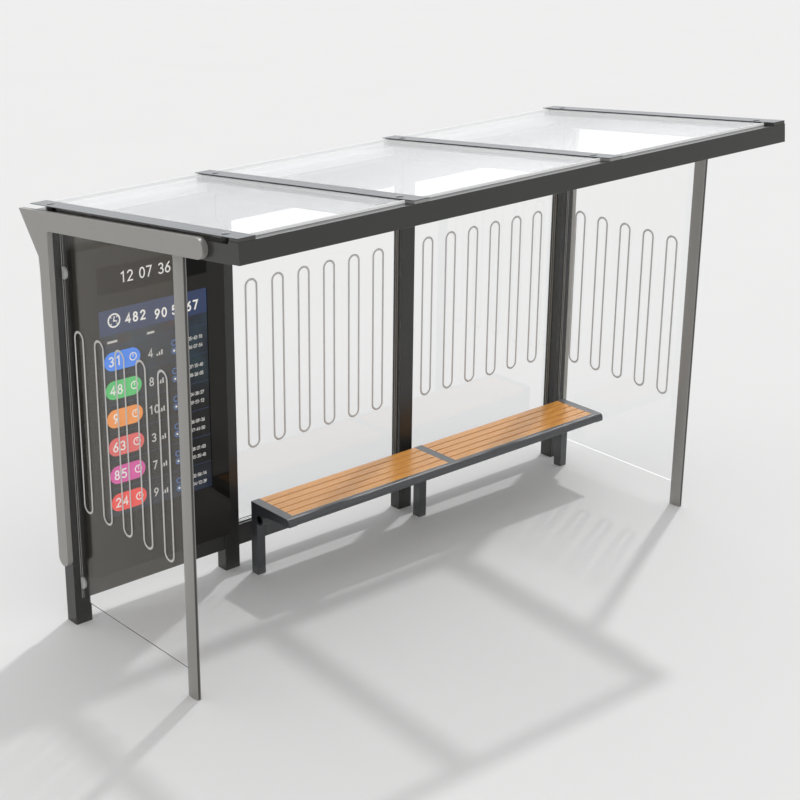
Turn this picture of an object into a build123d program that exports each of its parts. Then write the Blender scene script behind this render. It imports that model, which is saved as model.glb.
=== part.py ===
from build123d import *
import math
import os

os.makedirs("parts", exist_ok=True)

# Bus shelter, millimetres, +Z up, +Y towards the back wall.
# Origin: middle of the footprint on the floor.

# ---------------------------------------------------------------- driving dimensions
post_line_y = 693.43       # centre line of the inner back posts
x_a = -1795.0              # left end post centre
x_b = -805.0               # inner left post centre
x_c = 495.0                # inner right post centre
x_d = 1795.0               # right end post centre

post_width = 98.0
inner_post_front_y = post_line_y - 41.0
inner_post_back_y = post_line_y + 37.0
end_post_front_y = post_line_y - 56.0
end_post_back_y = post_line_y + 34.0
post_radius = 3.0

roof_rise = 0.1103         # rise of the roof per millimetre towards the front
strip_top_z = 2269.7       # top of the cover strips above the post line
strip_front_s = -1582.8    # along the slope from the post line, negative is forwards
strip_back_s = 142.9
strip_thick = 3.0
strip_width = 95.0
standoff_radius = 18.0
standoff_front_s = -1429.6
standoff_back_s = 27.2
glass_top_depth = 3.2      # depths are measured square to the roof, from the strip tops
glass_bottom_depth = 31.2  # sealed double-glazed units
rafter_bottom_depth = 120.0
fascia_bottom_depth = 116.5
fascia_top_depth = 17.0
fascia_front_s = -1584.4
fascia_back_s = -1514.4
glass_front_s = -1511.0
glass_back_s = 117.0
rafter_back_s = 131.0
panel_gap = 25.0           # roof glass edge from the rafter centre line
roof_half_x = 1844.0

front_post_front_y = post_line_y - 1105.0
front_post_back_y = post_line_y - 1029.0
front_post_half = 15.0
front_post_nose_half = 10.0

side_glass_half = 5.0
side_glass_bottom_z = 146.0

rail_half = 35.0
bottom_rail_low_z = 130.0
bottom_rail_high_z = 254.0
top_rail_low_z = 2005.0
top_rail_high_z = 2166.0
back_glass_half = 5.0

gutter_front_y = post_line_y + 37.0
gutter_back_y = post_line_y + 122.0
gutter_low_z = 2166.0
gutter_high_z = 2211.0
gutter_wall = 4.0

plate_thick = 30.0
plate_leg_front_y = post_line_y - 57.0
plate_leg_back_y = post_line_y + 31.0
plate_leg_low_z = 342.0
plate_nose_radius = 48.0

case_left_x = -1745.0
case_right_x = -855.0
case_front_y = post_line_y - 100.0
case_back_y = post_line_y + 35.0
case_top_z = 2037.0
case_screen_recess = 13.0
screen_left_x = -1630.0
screen_right_x = -970.0
screen_low_z = 575.0
screen_high_z = 1707.0

bench_left_x = -748.0
bench_right_x = 1740.0
bench_end_width = 56.0
bench_back_y = post_line_y - 147.0
bench_beam_front_y = post_line_y - 200.0
bench_nose_y = post_line_y - 490.0
bench_rail_back_y = post_line_y - 448.0
seat_z = 437.0
seat_under_z = 401.0
bench_leg_top_z = 225.0
bench_leg_width = 55.0
bench_leg_back_y = post_line_y - 143.0
bench_leg_front_y = post_line_y - 201.0
bench_leg_mid_x = 494.7
divider_left_x = 465.0
divider_right_x = 524.0
slat_count = 5
slat_gap = 6.0
slat_thick = 28.0
seat_back_y = post_line_y - 150.0
batten_width = 40.0

# ---------------------------------------------------------------- derived values
slope_len = math.hypot(1.0, roof_rise)
n_y = roof_rise / slope_len
n_z = 1.0 / slope_len
half_post = post_width / 2.0

roof_plane = Plane(
    origin=(0.0, post_line_y, strip_top_z), x_dir=(1, 0, 0), z_dir=(0, n_y, n_z)
)


def under_rafter(y):
    """Height of the rafter undersides at y."""
    return strip_top_z - rafter_bottom_depth / n_z - roof_rise * (y - post_line_y)


slat_width = (seat_back_y - bench_rail_back_y - (slat_count - 1) * slat_gap) / slat_count
slat_centres = [
    bench_rail_back_y + slat_width / 2.0 + k * (slat_width + slat_gap) for k in range(slat_count)
]

# ---------------------------------------------------------------- back posts
with BuildPart() as post_back_left:
    with BuildSketch(Plane.YZ.offset(x_a - half_post)):
        Polygon(
            (end_post_front_y, 0.0), (end_post_back_y, 0.0),
            (end_post_back_y, under_rafter(end_post_back_y)),
            (end_post_front_y, under_rafter(end_post_front_y)),
            align=None,
        )
    extrude(amount=post_width)
    fillet(post_back_left.edges().filter_by(Axis.Z), radius=post_radius)
post_back_left.part.label = "post_back_left"
export_step(post_back_left.part, "parts/post_back_left.step")

with BuildPart() as post_inner_left:
    with BuildSketch(Plane.YZ.offset(x_b - half_post)):
        Polygon(
            (inner_post_front_y, 0.0), (inner_post_back_y, 0.0),
            (inner_post_back_y, under_rafter(inner_post_back_y)),
            (inner_post_front_y, under_rafter(inner_post_front_y)),
            align=None,
        )
    extrude(amount=post_width)
    fillet(post_inner_left.edges().filter_by(Axis.Z), radius=post_radius)
post_inner_left.part.label = "post_inner_left"
export_step(post_inner_left.part, "parts/post_inner_left.step")

with BuildPart() as post_inner_right:
    with BuildSketch(Plane.YZ.offset(x_c - half_post)):
        Polygon(
            (inner_post_front_y, 0.0), (inner_post_back_y, 0.0),
            (inner_post_back_y, under_rafter(inner_post_back_y)),
            (inner_post_front_y, under_rafter(inner_post_front_y)),
            align=None,
        )
    extrude(amount=post_width)
    fillet(post_inner_right.edges().filter_by(Axis.Z), radius=post_radius)
post_inner_right.part.label = "post_inner_right"
export_step(post_inner_right.part, "parts/post_inner_right.step")

with BuildPart() as post_back_right:
    with BuildSketch(Plane.YZ.offset(x_d - half_post)):
        Polygon(
            (end_post_front_y, 0.0), (end_post_back_y, 0.0),
            (end_post_back_y, under_rafter(end_post_back_y)),
            (end_post_front_y, under_rafter(end_post_front_y)),
            align=None,
        )
    extrude(amount=post_width)
    fillet(post_back_right.edges().filter_by(Axis.Z), radius=post_radius)
post_back_right.part.label = "post_back_right"
export_step(post_back_right.part, "parts/post_back_right.step")

# ---------------------------------------------------------------- front posts, lens-shaped section
front_post_mid_y = (front_post_front_y + front_post_back_y) / 2.0

with BuildPart() as post_front_left:
    with BuildSketch(Plane.XY):
        with BuildLine():
            Line((x_a - front_post_nose_half, front_post_front_y), (x_a + front_post_nose_half, front_post_front_y))
            ThreePointArc(
                (x_a + front_post_nose_half, front_post_front_y),
                (x_a + front_post_half, front_post_mid_y),
                (x_a + front_post_nose_half, front_post_back_y),
            )
            Line((x_a + front_post_nose_half, front_post_back_y), (x_a - front_post_nose_half, front_post_back_y))
            ThreePointArc(
                (x_a - front_post_nose_half, front_post_back_y),
                (x_a - front_post_half, front_post_mid_y),
                (x_a - front_post_nose_half, front_post_front_y),
            )
        make_face()
    extrude(amount=2400.0)
    with BuildSketch(Plane.YZ.offset(x_a - 60.0)):
        Polygon(
            (front_post_front_y - 50.0, under_rafter(front_post_front_y - 50.0)),
            (front_post_back_y + 50.0, under_rafter(front_post_back_y + 50.0)),
            (front_post_back_y + 50.0, 2600.0), (front_post_front_y - 50.0, 2600.0),
            align=None,
        )
    extrude(amount=120.0, mode=Mode.SUBTRACT)
post_front_left.part.label = "post_front_left"
export_step(post_front_left.part, "parts/post_front_left.step")

with BuildPart() as post_front_right:
    with BuildSketch(Plane.XY):
        with BuildLine():
            Line((x_d - front_post_nose_half, front_post_front_y), (x_d + front_post_nose_half, front_post_front_y))
            ThreePointArc(
                (x_d + front_post_nose_half, front_post_front_y),
                (x_d + front_post_half, front_post_mid_y),
                (x_d + front_post_nose_half, front_post_back_y),
            )
            Line((x_d + front_post_nose_half, front_post_back_y), (x_d - front_post_nose_half, front_post_back_y))
            ThreePointArc(
                (x_d - front_post_nose_half, front_post_back_y),
                (x_d - front_post_half, front_post_mid_y),
                (x_d - front_post_nose_half, front_post_front_y),
            )
        make_face()
    extrude(amount=2400.0)
    with BuildSketch(Plane.YZ.offset(x_d - 60.0)):
        Polygon(
            (front_post_front_y - 50.0, under_rafter(front_post_front_y - 50.0)),
            (front_post_back_y + 50.0, under_rafter(front_post_back_y + 50.0)),
            (front_post_back_y + 50.0, 2600.0), (front_post_front_y - 50.0, 2600.0),
            align=None,
        )
    extrude(amount=120.0, mode=Mode.SUBTRACT)
post_front_right.part.label = "post_front_right"
export_step(post_front_right.part, "parts/post_front_right.step")

# ---------------------------------------------------------------- bottom rails between the back posts
rail_mid_z = (bottom_rail_low_z + bottom_rail_high_z) / 2.0
rail_height = bottom_rail_high_z - bottom_rail_low_z

with BuildPart() as bottom_rail_left:
    with Locations(((x_a + x_b) / 2, post_line_y, rail_mid_z)):
        Box(x_b - x_a - post_width, 2 * rail_half, rail_height)
    fillet(bottom_rail_left.edges().filter_by(Axis.X), radius=2.0)
bottom_rail_left.part.label = "bottom_rail_left"
export_step(bottom_rail_left.part, "parts/bottom_rail_left.step")

with BuildPart() as bottom_rail_middle:
    with Locations(((x_b + x_c) / 2, post_line_y, rail_mid_z)):
        Box(x_c - x_b - post_width, 2 * rail_half, rail_height)
    fillet(bottom_rail_middle.edges().filter_by(Axis.X), radius=2.0)
bottom_rail_middle.part.label = "bottom_rail_middle"
export_step(bottom_rail_middle.part, "parts/bottom_rail_middle.step")

with BuildPart() as bottom_rail_right:
    with Locations(((x_c + x_d) / 2, post_line_y, rail_mid_z)):
        Box(x_d - x_c - post_width, 2 * rail_half, rail_height)
    fillet(bottom_rail_right.edges().filter_by(Axis.X), radius=2.0)
bottom_rail_right.part.label = "bottom_rail_right"
export_step(bottom_rail_right.part, "parts/bottom_rail_right.step")

# ---------------------------------------------------------------- top rails between the back posts
top_mid_z = (top_rail_low_z + top_rail_high_z) / 2.0
top_height = top_rail_high_z - top_rail_low_z

with BuildPart() as top_rail_left:
    with Locations(((x_a + x_b) / 2, post_line_y, (case_top_z + top_rail_high_z) / 2)):
        Box(x_b - x_a - post_width, 2 * rail_half, top_rail_high_z - case_top_z)
    fillet(top_rail_left.edges().filter_by(Axis.X), radius=2.0)
top_rail_left.part.label = "top_rail_left"
export_step(top_rail_left.part, "parts/top_rail_left.step")

with BuildPart() as top_rail_middle:
    with Locations(((x_b + x_c) / 2, post_line_y, top_mid_z)):
        Box(x_c - x_b - post_width, 2 * rail_half, top_height)
    fillet(top_rail_middle.edges().filter_by(Axis.X), radius=2.0)
top_rail_middle.part.label = "top_rail_middle"
export_step(top_rail_middle.part, "parts/top_rail_middle.step")

with BuildPart() as top_rail_right:
    with Locations(((x_c + x_d) / 2, post_line_y, top_mid_z)):
        Box(x_d - x_c - post_width, 2 * rail_half, top_height)
    fillet(top_rail_right.edges().filter_by(Axis.X), radius=2.0)
top_rail_right.part.label = "top_rail_right"
export_step(top_rail_right.part, "parts/top_rail_right.step")

# ---------------------------------------------------------------- back glass
back_glass_mid_z = (bottom_rail_high_z + top_rail_low_z) / 2.0
back_glass_height = top_rail_low_z - bottom_rail_high_z

with BuildPart() as back_glass_middle:
    with Locations(((x_b + x_c) / 2, post_line_y, back_glass_mid_z)):
        Box(x_c - x_b - post_width, 2 * back_glass_half, back_glass_height)
back_glass_middle.part.label = "back_glass_middle"
export_step(back_glass_middle.part, "parts/back_glass_middle.step")

with BuildPart() as back_glass_right:
    with Locations(((x_c + x_d) / 2, post_line_y, back_glass_mid_z)):
        Box(x_d - x_c - post_width, 2 * back_glass_half, back_glass_height)
back_glass_right.part.label = "back_glass_right"
export_step(back_glass_right.part, "parts/back_glass_right.step")

# ---------------------------------------------------------------- side glass
with BuildPart() as side_glass_left:
    with BuildSketch(Plane.YZ.offset(x_a - side_glass_half)):
        Polygon(
            (front_post_back_y, side_glass_bottom_z), (end_post_front_y, side_glass_bottom_z),
            (end_post_front_y, under_rafter(end_post_front_y)),
            (front_post_back_y, under_rafter(front_post_back_y)),
            align=None,
        )
    extrude(amount=2 * side_glass_half)
side_glass_left.part.label = "side_glass_left"
export_step(side_glass_left.part, "parts/side_glass_left.step")

with BuildPart() as side_glass_right:
    with BuildSketch(Plane.YZ.offset(x_d - side_glass_half)):
        Polygon(
            (front_post_back_y, side_glass_bottom_z), (end_post_front_y, side_glass_bottom_z),
            (end_post_front_y, under_rafter(end_post_front_y)),
            (front_post_back_y, under_rafter(front_post_back_y)),
            align=None,
        )
    extrude(amount=2 * side_glass_half)
side_glass_right.part.label = "side_glass_right"
export_step(side_glass_right.part, "parts/side_glass_right.step")

# ---------------------------------------------------------------- front fascia beam
with BuildPart() as fascia_beam:
    with BuildSketch(roof_plane.offset(-fascia_bottom_depth)):
        with Locations((0.0, (fascia_front_s + fascia_back_s) / 2)):
            Rectangle(2 * roof_half_x, fascia_back_s - fascia_front_s)
    extrude(amount=fascia_bottom_depth - fascia_top_depth)
    fillet(fascia_beam.edges().filter_by(Axis.X), radius=2.5)
fascia_beam.part.label = "fascia_beam"
export_step(fascia_beam.part, "parts/fascia_beam.step")

# ---------------------------------------------------------------- rafters, the glazing lies on their tops
rafter_mid_s = (fascia_back_s + rafter_back_s) / 2.0
rafter_len = rafter_back_s - fascia_back_s

with BuildPart() as rafter_left:
    with BuildSketch(roof_plane.offset(-rafter_bottom_depth)):
        with Locations((x_a, rafter_mid_s)):
            Rectangle(post_width, rafter_len)
    extrude(amount=rafter_bottom_depth - glass_bottom_depth)
rafter_left.part.label = "rafter_left"
export_step(rafter_left.part, "parts/rafter_left.step")

with BuildPart() as rafter_inner_left:
    with BuildSketch(roof_plane.offset(-rafter_bottom_depth)):
        with Locations((x_b, rafter_mid_s)):
            Rectangle(post_width, rafter_len)
    extrude(amount=rafter_bottom_depth - glass_bottom_depth)
rafter_inner_left.part.label = "rafter_inner_left"
export_step(rafter_inner_left.part, "parts/rafter_inner_left.step")

with BuildPart() as rafter_inner_right:
    with BuildSketch(roof_plane.offset(-rafter_bottom_depth)):
        with Locations((x_c, rafter_mid_s)):
            Rectangle(post_width, rafter_len)
    extrude(amount=rafter_bottom_depth - glass_bottom_depth)
rafter_inner_right.part.label = "rafter_inner_right"
export_step(rafter_inner_right.part, "parts/rafter_inner_right.step")

with BuildPart() as rafter_right:
    with BuildSketch(roof_plane.offset(-rafter_bottom_depth)):
        with Locations((x_d, rafter_mid_s)):
            Rectangle(post_width, rafter_len)
    extrude(amount=rafter_bottom_depth - glass_bottom_depth)
rafter_right.part.label = "rafter_right"
export_step(rafter_right.part, "parts/rafter_right.step")

# ---------------------------------------------------------------- roof glass
glass_mid_s = (glass_front_s + glass_back_s) / 2.0
glass_len = glass_back_s - glass_front_s

with BuildPart() as roof_glass_left:
    with BuildSketch(roof_plane.offset(-glass_bottom_depth)):
        with Locations(((x_a + x_b) / 2, glass_mid_s)):
            Rectangle(x_b - x_a - 2 * panel_gap, glass_len)
    extrude(amount=glass_bottom_depth - glass_top_depth)
roof_glass_left.part.label = "roof_glass_left"
export_step(roof_glass_left.part, "parts/roof_glass_left.step")

with BuildPart() as roof_glass_middle:
    with BuildSketch(roof_plane.offset(-glass_bottom_depth)):
        with Locations(((x_b + x_c) / 2, glass_mid_s)):
            Rectangle(x_c - x_b - 2 * panel_gap, glass_len)
    extrude(amount=glass_bottom_depth - glass_top_depth)
roof_glass_middle.part.label = "roof_glass_middle"
export_step(roof_glass_middle.part, "parts/roof_glass_middle.step")

with BuildPart() as roof_glass_right:
    with BuildSketch(roof_plane.offset(-glass_bottom_depth)):
        with Locations(((x_c + x_d) / 2, glass_mid_s)):
            Rectangle(x_d - x_c - 2 * panel_gap, glass_len)
    extrude(amount=glass_bottom_depth - glass_top_depth)
roof_glass_right.part.label = "roof_glass_right"
export_step(roof_glass_right.part, "parts/roof_glass_right.step")

# ---------------------------------------------------------------- eaves gutters behind the top rails
gutter_outline = [
    (gutter_front_y, gutter_high_z), (gutter_front_y, gutter_low_z),
    (gutter_back_y, gutter_low_z), (gutter_back_y, gutter_high_z),
    (gutter_back_y - gutter_wall, gutter_high_z), (gutter_back_y - gutter_wall, gutter_low_z + gutter_wall),
    (gutter_front_y + gutter_wall, gutter_low_z + gutter_wall), (gutter_front_y + gutter_wall, gutter_high_z),
]

with BuildPart() as gutter_left:
    with BuildSketch(Plane.YZ.offset(x_a + half_post)):
        Polygon(*gutter_outline, align=None)
    extrude(amount=x_b - x_a - post_width)
gutter_left.part.label = "gutter_left"
export_step(gutter_left.part, "parts/gutter_left.step")

with BuildPart() as gutter_middle:
    with BuildSketch(Plane.YZ.offset(x_b + half_post)):
        Polygon(*gutter_outline, align=None)
    extrude(amount=x_c - x_b - post_width)
gutter_middle.part.label = "gutter_middle"
export_step(gutter_middle.part, "parts/gutter_middle.step")

with BuildPart() as gutter_right:
    with BuildSketch(Plane.YZ.offset(x_c + half_post)):
        Polygon(*gutter_outline, align=None)
    extrude(amount=x_d - x_c - post_width)
gutter_right.part.label = "gutter_right"
export_step(gutter_right.part, "parts/gutter_right.step")

# ---------------------------------------------------------------- cover strips on round stand-offs
strip_mid_s = (strip_front_s + strip_back_s) / 2.0
strip_len = strip_back_s - strip_front_s

with BuildPart() as cover_strip_left:
    with BuildSketch(roof_plane.offset(-strip_thick)):
        with Locations((x_a, strip_mid_s)):
            Rectangle(strip_width, strip_len)
    extrude(amount=strip_thick)
    with BuildSketch(roof_plane.offset(-glass_bottom_depth)):
        with Locations((x_a, standoff_front_s), (x_a, standoff_back_s)):
            Circle(standoff_radius)
    extrude(amount=glass_bottom_depth - strip_thick)
cover_strip_left.part.label = "cover_strip_left"
export_step(cover_strip_left.part, "parts/cover_strip_left.step")

with BuildPart() as cover_strip_inner_left:
    with BuildSketch(roof_plane.offset(-strip_thick)):
        with Locations((x_b, strip_mid_s)):
            Rectangle(strip_width, strip_len)
    extrude(amount=strip_thick)
    with BuildSketch(roof_plane.offset(-glass_bottom_depth)):
        with Locations((x_b, standoff_front_s), (x_b, standoff_back_s)):
            Circle(standoff_radius)
    extrude(amount=glass_bottom_depth - strip_thick)
cover_strip_inner_left.part.label = "cover_strip_inner_left"
export_step(cover_strip_inner_left.part, "parts/cover_strip_inner_left.step")

with BuildPart() as cover_strip_inner_right:
    with BuildSketch(roof_plane.offset(-strip_thick)):
        with Locations((x_c, strip_mid_s)):
            Rectangle(strip_width, strip_len)
    extrude(amount=strip_thick)
    with BuildSketch(roof_plane.offset(-glass_bottom_depth)):
        with Locations((x_c, standoff_front_s), (x_c, standoff_back_s)):
            Circle(standoff_radius)
    extrude(amount=glass_bottom_depth - strip_thick)
cover_strip_inner_right.part.label = "cover_strip_inner_right"
export_step(cover_strip_inner_right.part, "parts/cover_strip_inner_right.step")

with BuildPart() as cover_strip_right:
    with BuildSketch(roof_plane.offset(-strip_thick)):
        with Locations((x_d, strip_mid_s)):
            Rectangle(strip_width, strip_len)
    extrude(amount=strip_thick)
    with BuildSketch(roof_plane.offset(-glass_bottom_depth)):
        with Locations((x_d, standoff_front_s), (x_d, standoff_back_s)):
            Circle(standoff_radius)
    extrude(amount=glass_bottom_depth - strip_thick)
cover_strip_right.part.label = "cover_strip_right"
export_step(cover_strip_right.part, "parts/cover_strip_right.step")

# ---------------------------------------------------------------- 7-shaped end plates
plate_leg_radius = (plate_leg_back_y - plate_leg_front_y) / 2.0
plate_leg_mid_y = (plate_leg_back_y + plate_leg_front_y) / 2.0
plate_nose_y = post_line_y - 1313.0
plate_nose_z = 2349.0
plate_outline = [
    (plate_leg_front_y, plate_leg_low_z + plate_leg_radius),
    (plate_leg_back_y, plate_leg_low_z + plate_leg_radius),
    (plate_leg_back_y, 1930.0),
    (post_line_y + 36.5, 2012.0),
    (post_line_y + 200.0, 2224.0),
    (plate_nose_y + plate_nose_radius * 0.1129, plate_nose_z + plate_nose_radius * 0.9936),
    (plate_nose_y, plate_nose_z),
    (plate_nose_y - plate_nose_radius * 0.1107, plate_nose_z - plate_nose_radius * 0.9939),
    (plate_leg_front_y - 11.0, 2160.0),
    (plate_leg_front_y, 2149.0),
]

with BuildPart() as end_plate_left:
    with BuildSketch(Plane.YZ.offset(-roof_half_x - plate_thick)):
        Polygon(*plate_outline, align=None)
        with Locations((plate_leg_mid_y, plate_leg_low_z + plate_leg_radius)):
            Circle(plate_leg_radius)
        with Locations((plate_nose_y, plate_nose_z)):
            Circle(plate_nose_radius)
    extrude(amount=plate_thick)
end_plate_left.part.label = "end_plate_left"
export_step(end_plate_left.part, "parts/end_plate_left.step")

with BuildPart() as end_plate_right:
    with BuildSketch(Plane.YZ.offset(roof_half_x)):
        Polygon(*plate_outline, align=None)
        with Locations((plate_leg_mid_y, plate_leg_low_z + plate_leg_radius)):
            Circle(plate_leg_radius)
        with Locations((plate_nose_y, plate_nose_z)):
            Circle(plate_nose_radius)
    extrude(amount=plate_thick)
end_plate_right.part.label = "end_plate_right"
export_step(end_plate_right.part, "parts/end_plate_right.step")

# ---------------------------------------------------------------- information case and its screen
case_mid_x = (case_left_x + case_right_x) / 2.0
case_mid_y = (case_front_y + case_back_y) / 2.0
case_mid_z = (bottom_rail_high_z + case_top_z) / 2.0
case_height = case_top_z - bottom_rail_high_z
screen_mid_x = (screen_left_x + screen_right_x) / 2.0
screen_mid_z = (screen_low_z + screen_high_z) / 2.0
screen_back_y = case_front_y + case_screen_recess

with BuildPart() as info_case:
    with Locations((case_mid_x, case_mid_y, case_mid_z)):
        Box(case_right_x - case_left_x, case_back_y - case_front_y, case_height)
    fillet(info_case.edges().filter_by(Axis.Z), radius=4.0)
    with Locations((screen_mid_x, (case_front_y + screen_back_y) / 2, screen_mid_z)):
        Box(
            screen_right_x - screen_left_x, screen_back_y - case_front_y, screen_high_z - screen_low_z,
            mode=Mode.SUBTRACT,
        )
info_case.part.label = "info_case"
export_step(info_case.part, "parts/info_case.step")

with BuildPart() as info_screen:
    with Locations((screen_mid_x, screen_back_y - 4.25, screen_mid_z)):
        Box(screen_right_x - screen_left_x, 8.5, screen_high_z - screen_low_z)
info_screen.part.label = "info_screen"
export_step(info_screen.part, "parts/info_screen.step")

# ---------------------------------------------------------------- bench legs
leg_mid_y = (bench_leg_back_y + bench_leg_front_y) / 2.0
leg_depth = bench_leg_back_y - bench_leg_front_y

with BuildPart() as bench_leg_left:
    with Locations((bench_left_x + bench_leg_width / 2, leg_mid_y, bench_leg_top_z / 2)):
        Box(bench_leg_width, leg_depth, bench_leg_top_z)
    fillet(bench_leg_left.edges().filter_by(Axis.Z), radius=3.0)
bench_leg_left.part.label = "bench_leg_left"
export_step(bench_leg_left.part, "parts/bench_leg_left.step")

with BuildPart() as bench_leg_middle:
    with Locations((bench_leg_mid_x, leg_mid_y, bench_leg_top_z / 2)):
        Box(bench_leg_width, leg_depth, bench_leg_top_z)
    fillet(bench_leg_middle.edges().filter_by(Axis.Z), radius=3.0)
bench_leg_middle.part.label = "bench_leg_middle"
export_step(bench_leg_middle.part, "parts/bench_leg_middle.step")

with BuildPart() as bench_leg_right:
    with Locations((bench_right_x - bench_leg_width / 2, leg_mid_y, bench_leg_top_z / 2)):
        Box(bench_leg_width, leg_depth, bench_leg_top_z)
    fillet(bench_leg_right.edges().filter_by(Axis.Z), radius=3.0)
bench_leg_right.part.label = "bench_leg_right"
export_step(bench_leg_right.part, "parts/bench_leg_right.step")

# ---------------------------------------------------------------- bench frame
beam_left_x = bench_left_x + bench_end_width
beam_right_x = bench_right_x - bench_end_width

with BuildPart() as bench_back_beam:
    with Locations(((beam_left_x + beam_right_x) / 2, leg_mid_y, (bench_leg_top_z + seat_under_z) / 2)):
        Box(beam_right_x - beam_left_x, leg_depth, seat_under_z - bench_leg_top_z)
    fillet(bench_back_beam.edges().filter_by(Axis.X).sort_by(Axis.Z)[0:2], radius=3.0)
bench_back_beam.part.label = "bench_back_beam"
export_step(bench_back_beam.part, "parts/bench_back_beam.step")

nose_radius = 26.0
with BuildPart() as bench_front_rail:
    with Locations(((beam_left_x + beam_right_x) / 2, (bench_nose_y + bench_rail_back_y) / 2, (392.0 + seat_z) / 2)):
        Box(beam_right_x - beam_left_x, bench_rail_back_y - bench_nose_y, seat_z - 392.0)
    fillet(bench_front_rail.edges().filter_by(Axis.X).group_by(Axis.Y)[0].sort_by(Axis.Z)[-1], radius=nose_radius)
    fillet(bench_front_rail.edges().filter_by(Axis.X).group_by(Axis.Y)[0].sort_by(Axis.Z)[0], radius=6.0)
bench_front_rail.part.label = "bench_front_rail"
export_step(bench_front_rail.part, "parts/bench_front_rail.step")

with BuildPart() as bench_divider:
    with Locations((
        (divider_left_x + divider_right_x) / 2, (bench_rail_back_y + bench_back_y) / 2,
        (seat_under_z + seat_z) / 2,
    )):
        Box(divider_right_x - divider_left_x, bench_back_y - bench_rail_back_y, seat_z - seat_under_z)
bench_divider.part.label = "bench_divider"
export_step(bench_divider.part, "parts/bench_divider.step")

bench_end_outline = [
    (bench_back_y - 1.0, bench_leg_top_z),
    (bench_back_y - 1.0, seat_z),
    (bench_nose_y, seat_z),
    (bench_nose_y, 392.0),
    (bench_nose_y + 24.0, 394.0),
    (post_line_y - 269.0, 380.0),
    (bench_beam_front_y + 1.0, 374.0),
    (bench_beam_front_y + 1.0, bench_leg_top_z),
]

with BuildPart() as bench_end_left:
    with BuildSketch(Plane.YZ.offset(bench_left_x)):
        Polygon(*bench_end_outline, align=None)
        with Locations((post_line_y - 219.0, 347.0)):
            Circle(35.0)
        with Locations((post_line_y - 219.0, 347.0)):
            Circle(23.5, mode=Mode.SUBTRACT)
    extrude(amount=bench_end_width)
    fillet(bench_end_left.edges().filter_by(Axis.X).group_by(Axis.Y)[0].sort_by(Axis.Z)[-1], radius=nose_radius)
bench_end_left.part.label = "bench_end_left"
export_step(bench_end_left.part, "parts/bench_end_left.step")

with BuildPart() as bench_end_right:
    with BuildSketch(Plane.YZ.offset(beam_right_x)):
        Polygon(*bench_end_outline, align=None)
        with Locations((post_line_y - 219.0, 347.0)):
            Circle(35.0)
        with Locations((post_line_y - 219.0, 347.0)):
            Circle(23.5, mode=Mode.SUBTRACT)
    extrude(amount=bench_end_width)
    fillet(bench_end_right.edges().filter_by(Axis.X).group_by(Axis.Y)[0].sort_by(Axis.Z)[-1], radius=nose_radius)
bench_end_right.part.label = "bench_end_right"
export_step(bench_end_right.part, "parts/bench_end_right.step")

# ---------------------------------------------------------------- slatted seats
seat_left_len = divider_left_x - beam_left_x
seat_right_len = beam_right_x - divider_right_x
seat_mid_y = (seat_back_y + bench_rail_back_y) / 2.0

with BuildPart() as seat_left:
    with Locations(*[((beam_left_x + divider_left_x) / 2, y, seat_z - slat_thick / 2) for y in slat_centres]):
        Box(seat_left_len, slat_width, slat_thick)
    fillet(seat_left.edges().filter_by(Axis.X).group_by(Axis.Z)[-1], radius=2.5)
    with Locations(*[
        (beam_left_x + seat_left_len * f, seat_mid_y, (seat_under_z + seat_z - slat_thick) / 2)
        for f in (0.08, 0.5, 0.92)
    ]):
        Box(batten_width, seat_back_y - bench_rail_back_y, seat_z - slat_thick - seat_under_z)
seat_left.part.label = "seat_left"
export_step(seat_left.part, "parts/seat_left.step")

with BuildPart() as seat_right:
    with Locations(*[((divider_right_x + beam_right_x) / 2, y, seat_z - slat_thick / 2) for y in slat_centres]):
        Box(seat_right_len, slat_width, slat_thick)
    fillet(seat_right.edges().filter_by(Axis.X).group_by(Axis.Z)[-1], radius=2.5)
    with Locations(*[
        (divider_right_x + seat_right_len * f, seat_mid_y, (seat_under_z + seat_z - slat_thick) / 2)
        for f in (0.08, 0.5, 0.92)
    ]):
        Box(batten_width, seat_back_y - bench_rail_back_y, seat_z - slat_thick - seat_under_z)
seat_right.part.label = "seat_right"
export_step(seat_right.part, "parts/seat_right.step")
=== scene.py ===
import bpy
import bmesh
import math
from mathutils import Vector, Matrix


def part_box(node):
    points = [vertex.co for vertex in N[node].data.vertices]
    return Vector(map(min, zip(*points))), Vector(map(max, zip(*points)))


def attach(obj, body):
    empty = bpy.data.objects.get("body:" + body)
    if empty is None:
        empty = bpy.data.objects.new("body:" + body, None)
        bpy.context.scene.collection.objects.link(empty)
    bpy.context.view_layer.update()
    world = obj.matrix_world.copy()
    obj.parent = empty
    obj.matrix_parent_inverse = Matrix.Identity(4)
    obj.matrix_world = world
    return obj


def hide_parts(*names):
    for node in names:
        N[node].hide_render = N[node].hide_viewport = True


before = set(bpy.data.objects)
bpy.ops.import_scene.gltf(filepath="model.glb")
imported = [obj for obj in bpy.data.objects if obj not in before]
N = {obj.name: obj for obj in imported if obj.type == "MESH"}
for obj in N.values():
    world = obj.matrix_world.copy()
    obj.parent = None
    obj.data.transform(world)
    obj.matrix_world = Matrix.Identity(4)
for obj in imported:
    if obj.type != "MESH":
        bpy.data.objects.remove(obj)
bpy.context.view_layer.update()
scene = bpy.context.scene

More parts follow.
